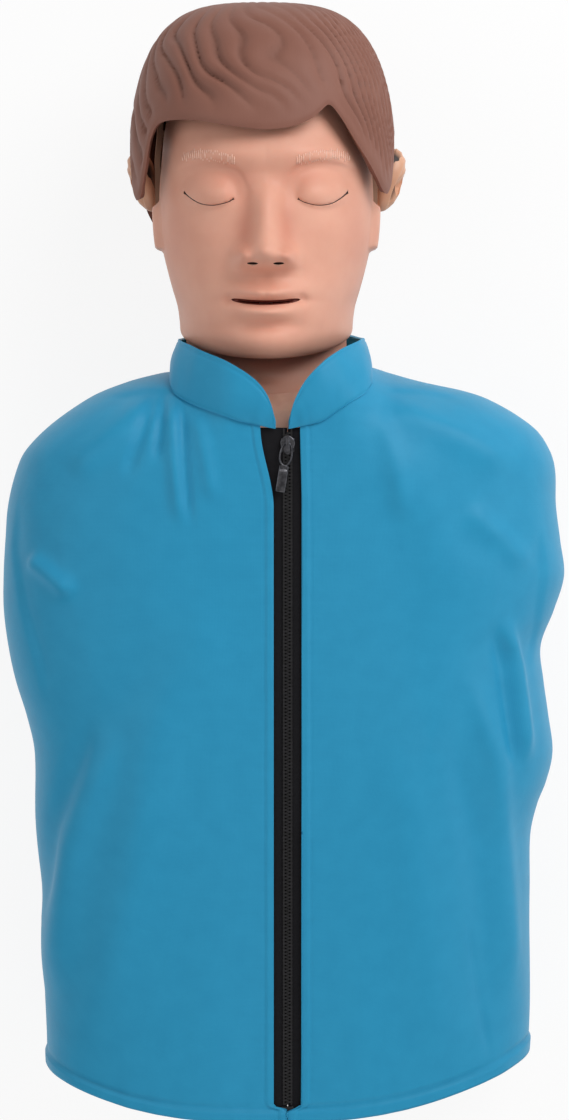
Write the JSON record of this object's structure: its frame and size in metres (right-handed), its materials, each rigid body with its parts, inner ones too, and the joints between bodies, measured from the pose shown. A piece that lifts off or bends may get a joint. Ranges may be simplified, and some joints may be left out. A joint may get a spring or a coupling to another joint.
{
  "type": "cpr training manikin",
  "caption": "Half-body adult resuscitation manikin in a zipped sleeveless jacket, with a sprung chest, a head that tilts back and a hinged jaw.",
  "frame": {"origin": "on the surface the manikin lies on, under the middle of its overall length and width", "axes": "+Y towards the head, +Z out of the chest, +X towards the manikin's own left"},
  "size_m": [0.3737, 0.729, 0.2314],
  "materials": {
    "shell_plastic": "moulded shell, fine matt grain",
    "grey_plastic": "filled structural plastic, matt",
    "head_plastic": "tan moulded head and ears, satin",
    "skin": "soft vinyl skin, slight sheen",
    "foam": "closed cell foam, matt",
    "friction_disc": "friction disc, matt",
    "mouth_liner": "dark red liner, matt",
    "hair": "moulded brown hair, satin",
    "clear_film": "pale clear film",
    "steel": "plain steel",
    "jacket_satin": "satin woven polyester, teal blue",
    "zip_tape": "black woven tape",
    "zip_teeth": "black moulded teeth",
    "dark_metal": "dark painted die casting"
  },
  "bodies": {
    "torso": {"back_shell": "shell_plastic", "shoulder_shell": "shell_plastic", "compression_spring": "steel", "neck_skin": "skin", "neck_bracket": "grey_plastic", "neck_axle": "steel", "friction_washer_left": "friction_disc", "friction_washer_right": "friction_disc", "bracket_screw_left": "steel", "bracket_screw_right": "steel", "airway_tube": "clear_film", "jacket_back": "jacket_satin", "jacket_front_left": "jacket_satin", "jacket_front_right": "jacket_satin", "jacket_collar": "jacket_satin", "zip_tape_left": "zip_tape", "zip_tape_right": "zip_tape", "zip_teeth_left": "zip_teeth", "zip_teeth_right": "zip_teeth", "zip_stop": "zip_teeth"},
    "chest": {"chest_skin": "skin", "chest_plate": "grey_plastic", "skin_pad_left": "foam", "skin_pad_right": "foam", "lung_bag": "clear_film"},
    "head": {"head_shell": "head_plastic", "neck_knuckle": "grey_plastic", "knuckle_screw_left": "steel", "knuckle_screw_right": "steel", "hair": "hair", "face_skin": "skin", "skull_face": "shell_plastic", "mouth_insert": "mouth_liner", "jaw_pin_left": "steel", "jaw_pin_right": "steel"},
    "jaw": {"lower_jaw": "shell_plastic"},
    "zip_slider": {"zip_slider": "dark_metal"},
    "zip_pull": {"zip_pull": "dark_metal"}
  },
  "joints": [
    {"name": "head_tilt", "type": "hinge", "parent": "torso", "child": "head", "pos_m": [-0.012, 0.225, 0.095], "axis": [-1, 0, 0], "range_deg": [0, 20], "deforming": ["airway_tube"]},
    {"name": "jaw_open", "type": "hinge", "parent": "head", "child": "jaw", "pos_m": [-0.012, 0.232, 0.124], "axis": [1, 0, 0], "range_deg": [0, 8], "deforming": ["face_skin"]},
    {"name": "chest_compression", "type": "slide", "parent": "torso", "child": "chest", "axis": [0, 0, -1], "range_m": [0, 0.05], "stiffness_N_per_m": 8800, "springref_m": -0.003, "deforming": ["compression_spring"]},
    {"name": "zip_slide", "type": "slide", "parent": "torso", "child": "zip_slider", "axis": [0, 0.9992, 0.04], "range_m": [-0.38, 0]},
    {"name": "zip_pull_swing", "type": "hinge", "parent": "zip_slider", "child": "zip_pull", "pos_m": [0.002, 0.0707, 0.2038], "axis": [-1, 0, 0], "range_deg": [0, 110]}
  ]
}
